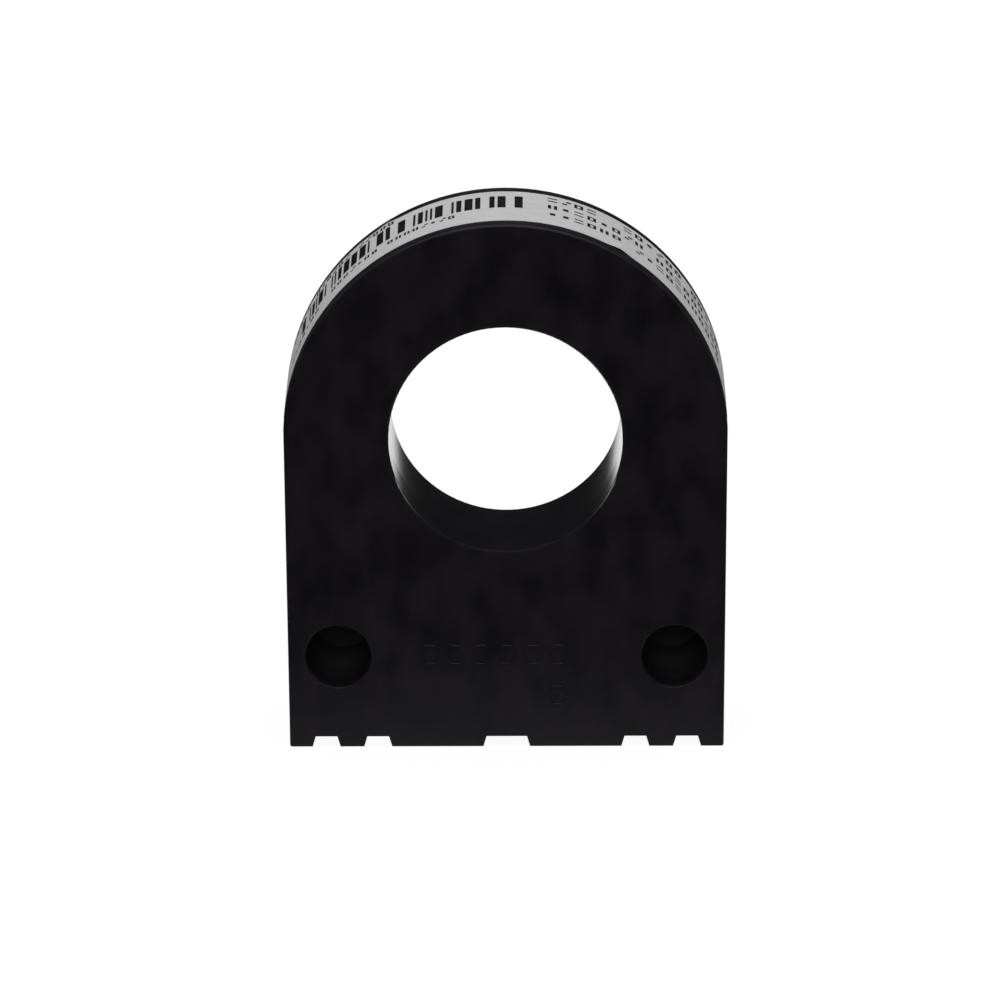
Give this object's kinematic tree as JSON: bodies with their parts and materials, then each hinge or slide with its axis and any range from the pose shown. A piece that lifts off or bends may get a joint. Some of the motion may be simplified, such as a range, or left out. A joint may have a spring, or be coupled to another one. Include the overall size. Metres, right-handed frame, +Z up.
{
  "type": "current transformer",
  "caption": "Window-type current transformer: round-topped black moulded case round a large through window, resin filled, with a wrapped label, recessed mounting holes and rear screw terminals.",
  "frame": {"origin": "on the base, under the middle of the case: centre of the bounding box in X and Y, lowest point in Z", "axes": "+Z up along the case's height, Y along the window axis with the closed moulded face at -Y and the resin and terminals at +Y, X across the case"},
  "size_m": [0.0848, 0.026, 0.1055],
  "materials": {
    "case": "black moulded thermoplastic with a fine satin texture",
    "core_steel": "grain-oriented silicon steel strip, wound",
    "core_cap": "natural nylon",
    "copper": "enamelled copper wire",
    "tape": "polyester film tape",
    "lead": "insulated wire",
    "sleeve": "varnished sleeving",
    "brass": "turned brass",
    "plated_steel": "zinc-plated steel",
    "resin": "black epoxy casting resin, poured",
    "label_film": "printed silver-grey polyester film"
  },
  "bodies": {
    "root": {"housing": "case", "core": "core_steel", "core_cap_front": "core_cap", "core_cap_rear": "core_cap", "secondary_winding": "copper", "winding_tape": "tape", "start_lead": "lead", "finish_lead": "lead", "lead_sleeve_start": "sleeve", "lead_sleeve_finish": "sleeve", "terminal_insert_left": "brass", "terminal_insert_right": "brass", "clamp_washers": "plated_steel", "terminal_screws": "plated_steel", "potting": "resin", "label": "label_film"}
  },
  "joints": []
}
